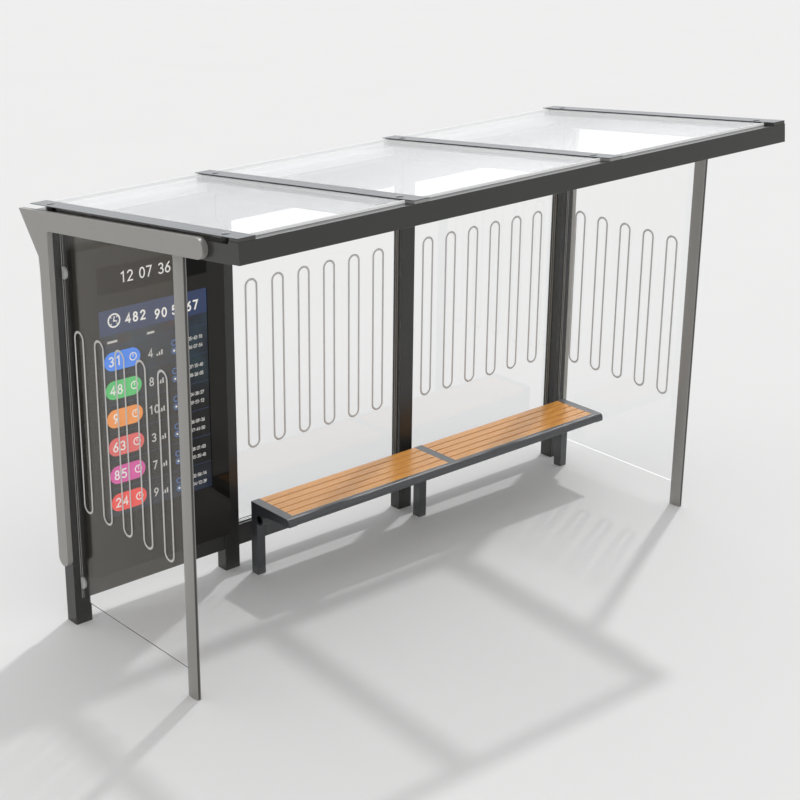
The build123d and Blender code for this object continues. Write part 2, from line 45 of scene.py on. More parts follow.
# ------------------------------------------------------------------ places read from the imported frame
Y0 = (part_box("post_inner_left")[0].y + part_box("post_inner_left")[1].y) / 2     # centre line of the inner back posts
XA = (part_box("post_back_left")[0].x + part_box("post_back_left")[1].x) / 2
XB = (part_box("post_inner_left")[0].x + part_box("post_inner_left")[1].x) / 2
XC = (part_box("post_inner_right")[0].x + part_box("post_inner_right")[1].x) / 2
XD = (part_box("post_back_right")[0].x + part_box("post_back_right")[1].x) / 2
HALF = (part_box("post_inner_left")[1].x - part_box("post_inner_left")[0].x) / 2
RISE = 0.1103
TOP0 = 2.2697
ny = RISE / math.hypot(1.0, RISE)
nz = 1.0 / math.hypot(1.0, RISE)
ROOF = Matrix(((1, 0, 0, 0), (0, nz, ny, Y0), (0, -ny, nz, TOP0), (0, 0, 0, 1)))   # x, along the slope to the back, square to the roof


# ------------------------------------------------------------------ node material helpers
def new_mat(name):
    m = bpy.data.materials.new(name)
    m.use_nodes = True
    nt = m.node_tree
    nt.nodes.clear()
    out = nt.nodes.new("ShaderNodeOutputMaterial")
    bsdf = nt.nodes.new("ShaderNodeBsdfPrincipled")
    nt.links.new(bsdf.outputs["BSDF"], out.inputs["Surface"])
    coord = nt.nodes.new("ShaderNodeTexCoord")
    return m, nt, bsdf, coord.outputs["Object"], out


def mapping(nt, vec, scale=(1, 1, 1), loc=(0, 0, 0), rot=(0, 0, 0)):
    n = nt.nodes.new("ShaderNodeMapping")
    n.inputs["Location"].default_value = loc
    n.inputs["Rotation"].default_value = rot
    n.inputs["Scale"].default_value = scale
    nt.links.new(vec, n.inputs["Vector"])
    return n.outputs["Vector"]


def noise(nt, vec, scale, detail=4.0, rough=0.55, dist=0.0):
    n = nt.nodes.new("ShaderNodeTexNoise")
    n.inputs["Scale"].default_value = scale
    n.inputs["Detail"].default_value = detail
    n.inputs["Roughness"].default_value = rough
    n.inputs["Distortion"].default_value = dist
    nt.links.new(vec, n.inputs["Vector"])
    return n.outputs["Fac"]


def ramp(nt, fac, stops, interp="LINEAR"):
    n = nt.nodes.new("ShaderNodeValToRGB")
    n.color_ramp.interpolation = interp
    els = n.color_ramp.elements
    while len(els) < len(stops):
        els.new(0.5)
    for e, (p, c) in zip(els, stops):
        e.position = p
        e.color = (c[0], c[1], c[2], 1.0) if len(c) == 3 else c
    nt.links.new(fac, n.inputs["Fac"])
    return n.outputs["Color"]


def remap(nt, fac, lo, hi, a=0.0, b=1.0):
    n = nt.nodes.new("ShaderNodeMapRange")
    n.inputs["From Min"].default_value = a
    n.inputs["From Max"].default_value = b
    n.inputs["To Min"].default_value = lo
    n.inputs["To Max"].default_value = hi
    nt.links.new(fac, n.inputs["Value"])
    return n.outputs["Result"]


def maths(nt, op, a, b=None, c=None):
    n = nt.nodes.new("ShaderNodeMath")
    n.operation = op
    for i, v in enumerate((a, b, c)):
        if v is None:
            continue
        if isinstance(v, (int, float)):
            n.inputs[i].default_value = v
        else:
            nt.links.new(v, n.inputs[i])
    return n.outputs[0]


def mix_col(nt, fac, a, b, blend="MIX"):
    n = nt.nodes.new("ShaderNodeMix")
    n.data_type = "RGBA"
    n.blend_type = blend
    for sock, v in ((n.inputs["Factor"], fac), (n.inputs["A"], a), (n.inputs["B"], b)):
        pass
    f = n.inputs[0]
    ca, cb = n.inputs[6], n.inputs[7]
    if isinstance(fac, (int, float)):
        f.default_value = fac
    else:
        nt.links.new(fac, f)
    for sock, v in ((ca, a), (cb, b)):
        if isinstance(v, tuple):
            sock.default_value = (v[0], v[1], v[2], 1.0)
        else:
            nt.links.new(v, sock)
    return n.outputs[2]


def bump(nt, bsdf, height, strength, distance):
    n = nt.nodes.new("ShaderNodeBump")
    n.inputs["Strength"].default_value = strength
    n.inputs["Distance"].default_value = distance
    nt.links.new(height, n.inputs["Height"])
    nt.links.new(n.outputs["Normal"], bsdf.inputs["Normal"])
    return n


def sep(nt, vec):
    n = nt.nodes.new("ShaderNodeSeparateXYZ")
    nt.links.new(vec, n.inputs[0])
    return n.outputs


def shade(c, k):
    return tuple(min(1.0, v * k) for v in c)


# powder coat: fine orange-peel, slight tone drift, a little dust near the floor
def paint(name, base, rough=0.38, metallic=0.0, drift=0.10, peel=0.25, spec=0.5, coat=0.0):
    m, nt, b, v, out = new_mat(name)
    big = noise(nt, v, 2.3, 3.0)
    mid = noise(nt, v, 38.0, 5.0, 0.6)
    fine = noise(nt, v, 900.0, 2.0)
    tone = maths(nt, "MULTIPLY_ADD", mid, 0.25, maths(nt, "MULTIPLY", big, 0.75))
    col = ramp(nt, tone, [(0.3, shade(base, 1 - drift)), (0.5, base), (0.7, shade(base, 1 + drift))])
    z = sep(nt, v)[2]
    dust = maths(nt, "MULTIPLY", remap(nt, z, 0.16, 0.0, 0.0, 0.05), mid)
    col = mix_col(nt, dust, col, (0.33, 0.31, 0.28))
    nt.links.new(col, b.inputs["Base Color"])
    nt.links.new(remap(nt, big, rough - 0.006, rough + 0.008, 0.3, 0.7), b.inputs["Roughness"])
    b.inputs["Metallic"].default_value = metallic
    b.inputs["Specular IOR Level"].default_value = spec
    b.inputs["Coat Weight"].default_value = coat
    bump(nt, b, fine, peel, 0.0002)
    return m


# brushed or anodised metal, streaked along one axis
def metal(name, base, rough=0.32, along="Y", drift=0.12, metallic=0.9):
    m, nt, b, v, out = new_mat(name)
    s = {"X": (2, 160, 160), "Y": (160, 2, 160), "Z": (160, 160, 2)}[along]
    streak = noise(nt, mapping(nt, v, s), 3.0, 6.0, 0.7)
    cloud = noise(nt, v, 7.0, 4.0)
    tone = maths(nt, "MULTIPLY_ADD", streak, 0.5, maths(nt, "MULTIPLY", cloud, 0.5))
    col = ramp(nt, tone, [(0.3, shade(base, 1 - drift)), (0.5, base), (0.7, shade(base, 1 + drift))])
    nt.links.new(col, b.inputs["Base Color"])
    nt.links.new(remap(nt, tone, rough - 0.07, rough + 0.1, 0.3, 0.7), b.inputs["Roughness"])
    b.inputs["Metallic"].default_value = metallic
    bump(nt, b, streak, 0.12, 0.0002)
    return m


def glass(name, tint=(0.985, 0.987, 0.982), ior=1.38, shadow=(0.92, 0.92, 0.92), mirror=(1.0, 0.87, 0.74)):
    m, nt, b, v, out = new_mat(name)
    smear = noise(nt, mapping(nt, v, (1.5, 1.5, 0.5)), 2.0, 3.0)
    wash = noise(nt, mapping(nt, v, (0.6, 0.6, 0.3)), 1.0, 2.0)
    col = ramp(nt, smear, [(0.2, shade(tint, 0.9985)), (0.8, tint)])
    nt.links.new(col, b.inputs["Base Color"])
    nt.links.new(ramp(nt, wash, [(0.3, mirror), (0.7, shade(mirror, 0.98))]), b.inputs["Specular Tint"])
    b.inputs["Roughness"].default_value = 0.0
    b.inputs["Transmission Weight"].default_value = 1.0
    b.inputs["IOR"].default_value = ior
    lp = nt.nodes.new("ShaderNodeLightPath")
    tr = nt.nodes.new("ShaderNodeBsdfTransparent")
    tr.inputs["Color"].default_value = (*shadow, 1.0)
    mx = nt.nodes.new("ShaderNodeMixShader")
    nt.links.new(lp.outputs["Is Shadow Ray"], mx.inputs[0])
    nt.links.new(b.outputs["BSDF"], mx.inputs[1])
    nt.links.new(tr.outputs["BSDF"], mx.inputs[2])
    my = nt.nodes.new("ShaderNodeMixShader")
    nt.links.new(lp.outputs["Is Diffuse Ray"], my.inputs[0])
    nt.links.new(mx.outputs["Shader"], my.inputs[1])
    nt.links.new(tr.outputs["BSDF"], my.inputs[2])
    nt.links.new(my.outputs["Shader"], out.inputs["Surface"])
    return m


M = {}
M["dark"] = paint("dark_frame_coat", (0.0290, 0.0286, 0.0274), rough=0.26, drift=0.02, peel=0.008, spec=0.47)
M["silver"] = paint("silver_coat", (0.326, 0.319, 0.304), rough=0.42, metallic=0.25, drift=0.02, peel=0.02)
M["strip"] = paint("cover_strip_coat", (0.032, 0.043, 0.053), rough=0.25, drift=0.02, peel=0.006, spec=0.43)
M["gutter"] = metal("gutter_metal", (0.95, 0.955, 0.96), rough=0.28, along="X", drift=0.012, metallic=0.05)
M["glass"] = glass("clear_glass", ior=1.44, mirror=(1.0, 0.86, 0.70))
M["glass_side"] = glass("side_glass", ior=1.28, mirror=(1.0, 0.74, 0.42))
M["roof_glass"] = glass("roof_glass", tint=(0.985, 0.99, 0.993), ior=1.14, shadow=(0.910, 0.910, 0.910), mirror=(1.0, 1.0, 1.0))
M["closer"] = paint("closing_block", (0.062, 0.060, 0.055), rough=0.40, drift=0.03, peel=0.02, spec=0.4)
M["slot_seal"] = paint("slot_seal", (0.90, 0.875, 0.83), rough=0.5, drift=0.03, peel=0.02, spec=0.3)
# lighter grey for the inner strip end blocks: painted light that lifts their shaded front faces
M["end_block"] = paint("strip_end_block", (0.30, 0.30, 0.295), rough=0.4, drift=0.03, peel=0.02, spec=0.4)
M["bead_side"] = paint("bead_side", (0.34, 0.335, 0.32), rough=0.45, drift=0.03, peel=0.02, spec=0.3)
M["edge_seal"] = paint("edge_seal", (0.080, 0.078, 0.070), rough=0.5, drift=0.06, peel=0.2, spec=0.3)
M["spacer"] = metal("spacer_bar", (0.16, 0.16, 0.155), rough=0.5, along="Y", metallic=0.4)
M["spacer_end"] = metal("spacer_bar_light", (0.88, 0.88, 0.88), rough=0.4, along="X", drift=0.03, metallic=0.1)
M["case"] = paint("case_gloss", (0.0088, 0.0080, 0.0062), rough=0.06, drift=0.06, peel=0.01, spec=0.28)
M["bench"] = paint("bench_coat", (0.0320, 0.0345, 0.0385), rough=0.37, drift=0.02, peel=0.01, spec=1.0)
M["rubber"] = paint("black_rubber", (0.006, 0.006, 0.006), rough=0.7, peel=0.1, spec=0.08)
M["mark"] = paint("glass_marking", (0.58, 0.57, 0.555), rough=0.35, drift=0.03, peel=0.05)
M["clamp"] = metal("clamp_metal", (0.66, 0.66, 0.65), rough=0.45, along="Z", drift=0.04, metallic=0.3)
M["bead"] = metal("bead_metal", (0.50, 0.51, 0.52), rough=0.35, along="X")
M["bead_dark"] = paint("bead_grey", (0.200, 0.185, 0.160), rough=0.35, drift=0.05, peel=0.05)
M["cap"] = metal("cap_metal", (0.30, 0.31, 0.32), rough=0.30, along="Y", metallic=0.6)


# lit print on the display: the colour glows a little, with a fine dot grid and a slow drift
def lit(name, base, glow, drift=0.06, grid=0.12):
    m, nt, b, v, out = new_mat(name)
    big = noise(nt, v, 9.0, 3.0)
    col = ramp(nt, big, [(0.3, shade(base, 1 - drift)), (0.7, shade(base, 1 + drift))])
    ck = nt.nodes.new("ShaderNodeTexChecker")
    ck.inputs["Scale"].default_value = 500.0
    nt.links.new(v, ck.inputs["Vector"])
    col = mix_col(nt, maths(nt, "MULTIPLY", ck.outputs["Fac"], grid), col, shade(base, 0.6))
    nt.links.new(col, b.inputs["Base Color"])
    nt.links.new(col, b.inputs["Emission Color"])
    b.inputs["Emission Strength"].default_value = glow
    nt.links.new(remap(nt, big, 0.16, 0.26), b.inputs["Roughness"])
    b.inputs["Specular IOR Level"].default_value = 0.4
    return m


def display(name):
    """Dark screen with a soft teal and blue cloud in its upper part."""
    m, nt, b, v, out = new_mat(name)
    xyz = sep(nt, v)
    cloud = noise(nt, mapping(nt, v, (3.2, 1.0, 2.4)), 1.7, 3.0, 0.5)
    warm = noise(nt, mapping(nt, v, (4.0, 1.0, 6.0), (3.1, 0, 1.7)), 1.9, 3.0, 0.5)
    up = remap(nt, xyz[2], 0.0, 1.0, 1.08, 1.52)
    low = remap(nt, xyz[2], 1.0, 0.0, 0.575, 0.74)
    base = ramp(nt, cloud, [(0.35, (0.0095, 0.0092, 0.0088)), (0.65, (0.012, 0.0125, 0.0135))])
    teal = ramp(nt, cloud, [(0.38, (0.020, 0.024, 0.034)), (0.55, (0.024, 0.038, 0.052)), (0.72, (0.030, 0.070, 0.085))])
    col = mix_col(nt, up, base, teal)
    red = maths(nt, "MULTIPLY", remap(nt, xyz[2], 0.0, 1.0, 1.49, 1.55), remap(nt, warm, 0.0, 0.8, 0.52, 0.66))
    col = mix_col(nt, red, col, (0.060, 0.026, 0.024))
    col = mix_col(nt, low, col, (0.022, 0.028, 0.046))
    nt.links.new(col, b.inputs["Base Color"])
    nt.links.new(col, b.inputs["Emission Color"])
    b.inputs["Emission Strength"].default_value = 0.35
    nt.links.new(remap(nt, cloud, 0.04, 0.09), b.inputs["Roughness"])
    b.inputs["Specular IOR Level"].default_value = 0.25
    return m


# the pane end edges glow a little: painted light for the brightness the glass edges catch
M["pane_edge_painted_glow"] = lit("pane_edge_painted_glow", (0.90, 0.905, 0.905), 0.26, drift=0.02, grid=0.02)
M["screen"] = display("display_glass")
M["header"] = paint("header_gloss", (0.0022, 0.0020, 0.0016), rough=0.08, drift=0.06, peel=0.01, spec=0.12)
M["white_print"] = lit("white_print", (0.72, 0.70, 0.67), 0.42)
M["soft_print"] = lit("soft_print", (0.48, 0.47, 0.45), 0.38)
M["band"] = lit("band_blue", (0.023, 0.040, 0.105), 0.30, grid=0.06)
M["line_blue"] = lit("line_blue", (0.030, 0.048, 0.105), 0.35)
M["dot_blue"] = lit("dot_blue", (0.060, 0.160, 0.420), 0.45)
PILLS = [("blue", (0.055, 0.240, 0.830)), ("green", (0.085, 0.520, 0.150)), ("orange", (0.860, 0.290, 0.060)),
         ("coral", (0.720, 0.115, 0.110)), ("magenta", (0.650, 0.080, 0.330)), ("red", (0.850, 0.070, 0.060))]
for nm, c in PILLS:
    M["pill_" + nm] = lit("pill_" + nm, c, 0.34, grid=0.04)


def timber(name):
    m, nt, b, v, out = new_mat(name)
    xyz = sep(nt, v)
    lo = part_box("seat_left")[0].y
    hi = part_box("seat_left")[1].y
    pitch = (hi - lo + 0.006) / 5
    slat = maths(nt, "FLOOR", maths(nt, "DIVIDE", maths(nt, "SUBTRACT", xyz[1], lo - 0.003), pitch))
    side = maths(nt, "GREATER_THAN", xyz[0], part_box("bench_divider")[0].x)
    seed = maths(nt, "MULTIPLY_ADD", side, 7.3, maths(nt, "MULTIPLY", slat, 3.7))
    comb = nt.nodes.new("ShaderNodeCombineXYZ")
    nt.links.new(maths(nt, "ADD", xyz[0], seed), comb.inputs[0])
    nt.links.new(maths(nt, "ADD", xyz[1], seed), comb.inputs[1])
    nt.links.new(maths(nt, "ADD", xyz[2], seed), comb.inputs[2])
    w = comb.outputs[0]
    grain = noise(nt, mapping(nt, w, (1.2, 60, 60)), 4.0, 8.0, 0.65, 0.3)
    pores = noise(nt, mapping(nt, w, (6, 420, 420)), 3.0, 3.0, 0.6)
    band = noise(nt, mapping(nt, w, (0.9, 14, 14)), 2.5, 4.0, 0.55, 0.8)
    tone = maths(nt, "MULTIPLY_ADD", grain, 0.55, maths(nt, "MULTIPLY", band, 0.45))
    col = ramp(nt, tone, [(0.30, (0.60, 0.245, 0.045)), (0.45, (0.74, 0.322, 0.062)), (0.58, (0.81, 0.372, 0.080)), (0.75, (0.87, 0.43, 0.105))])
    wn = nt.nodes.new("ShaderNodeTexWhiteNoise")
    wn.noise_dimensions = "1D"
    nt.links.new(seed, wn.inputs["W"])
    col = mix_col(nt, remap(nt, wn.outputs["Value"], 0.0, 0.30), col, (0.76, 0.335, 0.070))
    dark = remap(nt, pores, 1.0, 0.0, 0.30, 0.42)
    col = mix_col(nt, maths(nt, "MULTIPLY", dark, 0.35), col, (0.22, 0.09, 0.03))
    # faces turned down take a darker neutral grey: painted shade, which also keeps the timber's orange out of the
    # bounce light under the bench
    geo = nt.nodes.new("ShaderNodeNewGeometry")
    painted_shade_underside = maths(nt, "LESS_THAN", sep(nt, geo.outputs["True Normal"])[2], -0.3)
    col = mix_col(nt, painted_shade_underside, col, (0.30, 0.28, 0.26))
    nt.links.new(col, b.inputs["Base Color"])
    nt.links.new(remap(nt, grain, 0.30, 0.22, 0.35, 0.65), b.inputs["Roughness"])
    h = maths(nt, "MULTIPLY_ADD", pores, 0.4, grain)
    bump(nt, b, h, 0.15, 0.0004)
    return m


M["timber"] = timber("oiled_timber")


def assign(node, mat):
    o = N[node]
    o.data.materials.clear()
    o.data.materials.append(mat)


for n in ("post_back_left", "post_inner_left", "post_inner_right", "post_back_right",
          "bottom_rail_left", "bottom_rail_middle", "bottom_rail_right",
          "top_rail_left", "top_rail_middle", "top_rail_right",
          "rafter_left", "rafter_inner_left", "rafter_inner_right", "rafter_right", "fascia_beam"):
    assign(n, M["dark"])
for n in ("end_plate_left", "end_plate_right", "post_front_left", "post_front_right"):
    assign(n, M["silver"])
for n in ("cover_strip_left", "cover_strip_inner_left", "cover_strip_inner_right", "cover_strip_right"):
    assign(n, M["strip"])
for n in ("gutter_left", "gutter_middle", "gutter_right"):
    assign(n, M["gutter"])
for n in ("back_glass_middle", "back_glass_right"):
    assign(n, M["glass"])
for n in ("side_glass_left", "side_glass_right"):
    assign(n, M["glass_side"])
for n in ("roof_glass_left", "roof_glass_middle", "roof_glass_right"):
    assign(n, M["roof_glass"])
assign("info_case", M["case"])
assign("info_screen", M["screen"])
for n in ("bench_back_beam", "bench_front_rail", "bench_divider", "bench_end_left", "bench_end_right",
          "bench_leg_left", "bench_leg_middle", "bench_leg_right"):
    assign(n, M["bench"])
for n in ("seat_left", "seat_right"):
    assign(n, M["timber"])


# ------------------------------------------------------------------ eased edges
def ease(node, width):
    mod = N[node].modifiers.new("eased_edges", "BEVEL")
    mod.limit_method = "ANGLE"
    mod.angle_limit = math.radians(40)
    mod.width = width
    mod.segments = 2
    mod.use_clamp_overlap = True


for n in ("cover_strip_left", "cover_strip_inner_left", "cover_strip_inner_right", "cover_strip_right"):
    ease(n, 0.0013)
for n in ("fascia_beam", "post_back_left", "post_inner_left", "post_inner_right", "post_back_right",
          "end_plate_left", "end_plate_right", "bench_leg_left", "bench_leg_middle", "bench_leg_right",
          "bench_back_beam", "bench_divider", "bench_end_left", "bench_end_right"):
    ease(n, 0.0015)
for n in ("seat_left", "seat_right", "post_front_left", "post_front_right", "bench_front_rail"):
    ease(n, 0.0010)


# ------------------------------------------------------------------ mesh helpers
def finish(name, bm, mat, bevel=0.0, segs=2, smooth=False, ride=True):
    bmesh.ops.remove_doubles(bm, verts=bm.verts, dist=1e-6)
    bmesh.ops.recalc_face_normals(bm, faces=bm.faces)
    if bevel > 0:
        sharp = [e for e in bm.edges if e.is_manifold and e.calc_face_angle(0.0) > 0.6]
        bmesh.ops.bevel(bm, geom=sharp, offset=bevel, segments=segs, profile=0.5, affect="EDGES", clamp_overlap=True)
    me = bpy.data.meshes.new(name)
    bm.to_mesh(me)
    bm.free()
    if smooth:
        for p in me.polygons:
            p.use_smooth = True
    ob = bpy.data.objects.new(name, me)
    scene.collection.objects.link(ob)
    me.materials.append(mat)
    if ride:
        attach(ob, "root")
    return ob


def piece(name, verts, faces, mat, smooth=False):
    bm = bmesh.new()
    vs = [bm.verts.new(v) for v in verts]
    for f in faces:
        bm.faces.new([vs[k] for k in f])
    return finish(name, bm, mat, smooth=smooth)


def add_prism(bm, outline, place, h0, h1):
    """Closed prism on a 2-D outline; place(u, v, h) gives a point."""
    lo = [bm.verts.new(place(u, v, h0)) for (u, v) in outline]
    hi = [bm.verts.new(place(u, v, h1)) for (u, v) in outline]
    n = len(outline)
    bm.faces.new(lo[::-1])
    bm.faces.new(hi)
    for k in range(n):
        m = (k + 1) % n
        bm.faces.new((lo[k], lo[m], hi[m], hi[k]))


def add_box(bm, x0, x1, y0, y1, z0, z1, place=lambda x, y, z: (x, y, z)):
    add_prism(bm, [(x0, y0), (x1, y0), (x1, y1), (x0, y1)], place, z0, z1)


def on_roof(x, s, d):
    """x, distance along the slope from the post line, depth below the strip tops."""
    return tuple(ROOF @ Vector((x, s, -d)))


def circle(cx, cy, r, n=40, a0=0.0):
    return [(cx + r * math.cos(a0 + 2 * math.pi * k / n), cy + r * math.sin(a0 + 2 * math.pi * k / n)) for k in range(n)]


def ring_path(cx, cz, half, z0, z1, seg=18):
    """Tall round-ended outline in a plane: (u, z) with outward normals."""
    pts = []
    for i in range(seg + 1):
        a = math.pi * i / seg
        pts.append((cx + half * math.cos(a), z1 - half + half * math.sin(a), math.cos(a), math.sin(a)))
    for i in range(seg + 1):
        a = math.pi + math.pi * i / seg
        pts.append((cx + half * math.cos(a), z0 + half + half * math.sin(a), math.cos(a), math.sin(a)))
    return pts


def marking(name, rings, place, line, rise):
    """Raised half-round lines; place(u, h, z) gives a point, h out of the glass."""
    verts, faces = [], []
    prof = [(-line / 2, 0.0), (-line * 0.40, rise * 0.65), (-line * 0.2, rise * 0.93), (0.0, rise), (line * 0.2, rise * 0.93),
            (line * 0.40, rise * 0.65), (line / 2, 0.0)]
    for path in rings:
        base = len(verts)
        k = len(prof)
        for (u, z, nu, nw) in path:
            for (off, h) in prof:
                verts.append(place(u + nu * off, h, z + nw * off))
        n = len(path)
        for i in range(n):
            j = (i + 1) % n
            for a in range(k):
                b2 = (a + 1) % k
                faces.append((base + i * k + a, base + j * k + a, base + j * k + b2, base + i * k + b2))
    return piece(name, verts, faces, M["mark"], smooth=True)


# ------------------------------------------------------------------ glass markings: tall round-ended outlines
PITCH = 0.1815
R_MARK = 0.037
Z0M, Z1M = 0.683, 1.658
MARK_LINE, MARK_RISE = 0.0125, 0.0020
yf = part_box("back_glass_middle")[0].y
for nm, cx in (("middle", (XB + XC) / 2 - 0.003), ("right", (XC + XD) / 2 - 0.012)):
    rings = [ring_path(cx + (k - 2.5) * PITCH, 0, R_MARK, Z0M, Z1M) for k in range(6)]
    marking("glass_marking_back_" + nm, rings, lambda u, h, z: (u, yf - h, z), MARK_LINE, MARK_RISE)
for nm, node in (("left", "side_glass_left"), ("right", "side_glass_right")):
    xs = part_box(node)[0].x
    rings = [ring_path(Y0 - 0.1728 - PITCH * k, 0, R_MARK, Z0M, Z1M) for k in range(5)]
    marking("glass_marking_side_" + nm, rings, lambda u, h, z, xs=xs: (xs - h, u, z), MARK_LINE, MARK_RISE)

# ------------------------------------------------------------------ roof glazing: sealed units of two panes and an edge spacer
GAP = 0.025
S0, S1 = -1.511, 0.117
D0, D1, PANE = 0.0032, 0.0312, 0.0060
for nm, xl, xr in (("left", XA, XB), ("middle", XB, XC), ("right", XC, XD)):
    x0, x1 = xl + GAP, xr - GAP
    bm = bmesh.new()
    for d0, d1 in ((D0, D0 + PANE), (D1 - PANE, D1)):
        add_box(bm, x0 + 0.0018, x1 - 0.0018, S0 + 0.0020, S1 - 0.0020, d0, d1, on_roof)
    ob = finish("roof_panes_" + nm, bm, M["roof_glass"], bevel=0.0008, segs=1)
    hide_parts("roof_glass_" + nm)
    # front and back end edges of each unit, pale and glowing a little: painted light for the light the glass edges
    # catch
    bm = bmesh.new()
    add_box(bm, x0 + 0.0018, x1 - 0.0018, S0 - 0.0030, S0 + 0.0018, D0, D1, on_roof)
    add_box(bm, x0 + 0.0018, x1 - 0.0018, S1 - 0.0018, S1, D0, D1, on_roof)
    finish("pane_end_edges_" + nm, bm, M["pane_edge_painted_glow"], bevel=0.0004, segs=1)
    bm = bmesh.new()
    w = 0.012
    for a0, a1 in ((x0 + 0.0020, x0 + 0.0095), (x1 - 0.0095, x1 - 0.0020)):
        add_box(bm, a0, a1, S0 + w, S1 - w, D0 + PANE + 0.0002, D1 - PANE - 0.0002, on_roof)
    finish("glazing_spacer_sides_" + nm, bm, M["spacer"], bevel=0.0006, segs=1)
    bm = bmesh.new()
    add_box(bm, x0 + 0.0020, x1 - 0.0020, S1 - w, S1 - 0.0020, D0 + PANE + 0.0002, D1 - PANE - 0.0002, on_roof)
    finish("glazing_spacer_back_" + nm, bm, M["spacer_end"], bevel=0.0006, segs=1)
    bm = bmesh.new()
    for a0, a1 in ((x0, x0 + 0.0015), (x1 - 0.0015, x1)):
        add_box(bm, a0, a1, S0, S1, D0 + 0.0002, D1 - 0.0002, on_roof)
    finish("glazing_edge_seal_" + nm, bm, M["edge_seal"], bevel=0.0004, segs=1)

# ------------------------------------------------------------------ seal strips in the slots beside the end plates
for nm, xa, xb in (("left", XA + 0.0202, XA + 0.0238), ("right", XD - 0.0238, XD - 0.0202)):
    bm = bmesh.new()
    add_box(bm, xa, xb, S0 + 0.006, S1 - 0.002, 0.0036, 0.0308, on_roof)
    finish("slot_seal_" + nm, bm, M["slot_seal"], bevel=0.0006, segs=1)
# end blocks under the strip front ends; the inner ones take the lighter grey as painted light, the outer ones the dark
# closer colour
for nm, xc in (("left", XA), ("inner_left", XB), ("inner_right", XC), ("right", XD)):
    bm = bmesh.new()
    add_box(bm, xc - 0.0455, xc + 0.0455, -1.5824, -1.5150, 0.0032, 0.0168, on_roof)
    finish("strip_end_block_" + nm, bm, M["end_block"] if nm.startswith("inner") else M["closer"], bevel=0.0008, segs=1)

# ------------------------------------------------------------------ stand-off sleeves and screw caps of the cover strips
for nm, xc in (("left", XA), ("inner_left", XB), ("inner_right", XC), ("right", XD)):
    bm = bmesh.new()
    for s in (-1.4296, 0.0272):
        # ribbed black sleeve round each stand-off
        rings = []
        for k in range(9):
            d = 0.0034 + (0.0309 - 0.0034) * k / 8
            r = 0.0186 if k % 2 == 0 else 0.0195
            rings.append([bm.verts.new(on_roof(xc + r * math.cos(2 * math.pi * q / 36), s + r * math.sin(2 * math.pi * q / 36), d)) for q in range(36)])
        for a, b2 in zip(rings, rings[1:]):
            for q in range(36):
                p = (q + 1) % 36
                bm.faces.new((a[q], a[p], b2[p], b2[q]))
    finish("standoff_sleeves_" + nm, bm, M["closer"], smooth=True)
    bm = bmesh.new()
    for s in (-1.4296, 0.0272):
        prof = [(0.0205, 0.0), (0.0205, 0.0012), (0.0178, 0.0014), (0.0176, 0.0022), (0.0165, 0.0036), (0.0120, 0.0042), (0.0048, 0.0043),
                (0.0046, 0.0026), (0.0, 0.0026)]
        rings = []
        for (r, h) in prof[:-1]:
            rings.append([bm.verts.new(on_roof(xc + r * math.cos(2 * math.pi * q / 40), s + r * math.sin(2 * math.pi * q / 40), -h)) for q in range(40)])
        for a, b2 in zip(rings, rings[1:]):
            for q in range(40):
                p = (q + 1) % 40
                bm.faces.new((a[q], a[p], b2[p], b2[q]))
        bm.faces.new(rings[-1])
    finish("screw_caps_" + nm, bm, M["cap"], smooth=False)

# ------------------------------------------------------------------ front posts: black joint on the nose
for nm, xc in (("left", XA), ("right", XD)):
    lo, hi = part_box("post_front_" + nm)
    yn = lo.y
    def top(y):
        return TOP0 - 0.120 / nz - RISE * (y - Y0)
    bm = bmesh.new()
    prof = [(-0.0058, 0.0), (-0.0050, -0.0016), (-0.002, -0.0022), (0.002, -0.0022), (0.0050, -0.0016), (0.0058, 0.0)]
    zt = top(yn) - 0.012
    a = [bm.verts.new((xc + u, yn + v, 0.004)) for (u, v) in prof]
    b2 = [bm.verts.new((xc + u, yn + v, zt)) for (u, v) in prof]
    for q in range(len(prof)):
        p = (q + 1) % len(prof)
        bm.faces.new((a[q], a[p], b2[p], b2[q]))
    bm.faces.new(a[::-1])
    bm.faces.new(b2)
    finish("front_joint_" + nm, bm, M["closer"])

# ------------------------------------------------------------------ glass clamps on the end back posts
for nm, xc, sgn in (("left", XA, -1), ("right", XD, 1)):
    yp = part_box("post_back_" + nm)[0].y
    bm = bmesh.new()
    for zc in (1.938, 0.240):
        r = 0.034
        out = [(yp - 0.0005, zc - r), (yp - 0.0005, zc + r)]
        for k in range(1, 24):
            a = math.pi / 2 + math.pi * k / 24
            out.append((yp - 0.006 + r * math.cos(a), zc + r * math.sin(a)))
        add_prism(bm, out[::-1], lambda u, v, h, sgn=sgn: (xc + sgn * h, u, v), 0.0052, 0.0095)
        add_prism(bm, out[::-1], lambda u, v, h, sgn=sgn: (xc - sgn * h, u, v), 0.0052, 0.0075)
    finish("glass_clamps_" + nm, bm, M["clamp"], bevel=0.0010, segs=2)
    bm = bmesh.new()
    for zc in (1.938, 0.240):
        add_prism(bm, circle(yp - 0.016, zc, 0.0050, 24), lambda u, v, h, sgn=sgn: (xc + sgn * h, u, v), 0.0097, 0.0112)
    finish("clamp_screws_" + nm, bm, M["clamp"], bevel=0.0005, segs=1)

# ------------------------------------------------------------------ upright beads where the side glass meets the end posts
for nm in ("left", "right"):
    lo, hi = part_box("side_glass_" + nm)
    bm = bmesh.new()
    for xa, xb in ((lo.x - 0.0045, lo.x - 0.0004), (hi.x + 0.0004, hi.x + 0.0045)):
        for za, zb in ((lo.z + 0.002, 0.240 - 0.036), (0.240 + 0.036, 1.938 - 0.036), (1.938 + 0.036, hi.z - 0.002)):
            if zb - za > 0.01:
                add_box(bm, xa, xb, hi.y - 0.0052, hi.y - 0.0006, za, zb)
    finish("side_glass_bead_" + nm, bm, M["bead_side"], bevel=0.0014, segs=2)

